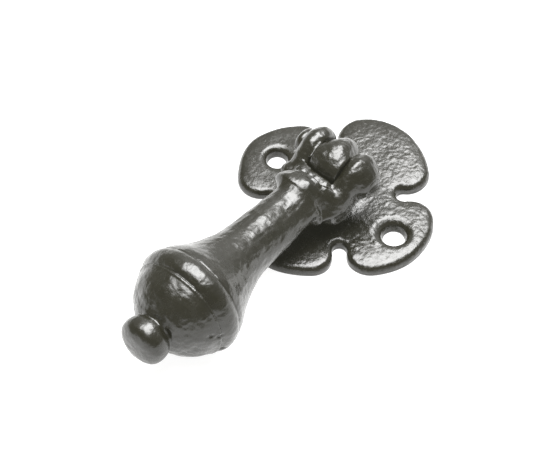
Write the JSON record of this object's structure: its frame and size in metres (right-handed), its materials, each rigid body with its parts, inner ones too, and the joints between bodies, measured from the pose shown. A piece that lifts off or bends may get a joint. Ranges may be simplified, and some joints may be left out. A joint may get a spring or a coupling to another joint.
{
  "type": "drop pull handle",
  "caption": "Black cast-iron drop pull: four-lobed backplate with a ball knuckle and a turned pendant handle that swings on a riveted cross pin.",
  "frame": {"origin": "centre of the backplate's back face, where it lies against the door, drawer or sash", "axes": "+Z out of the backplate towards the hand, pendant hanging along -Y, pin along X through the two screw-hole lobes' direction"},
  "size_m": [0.0512, 0.0961, 0.0278],
  "materials": {
    "rose_iron": "gloss black lacquer over coarse sand-cast iron",
    "handle_iron": "gloss black lacquer over hand-dressed cast iron",
    "pin_iron": "gloss black lacquer over a hammered rivet head"
  },
  "bodies": {
    "rose": {"backplate": "rose_iron"},
    "pendant": {"drop_handle": "handle_iron", "pivot_pin": "pin_iron"}
  },
  "joints": [
    {"name": "drop_swing", "type": "hinge", "parent": "rose", "child": "pendant", "pos_m": [0.0005, 0, 0.0152], "axis": [-1, 0, 0], "range_deg": [0, 182]}
  ]
}
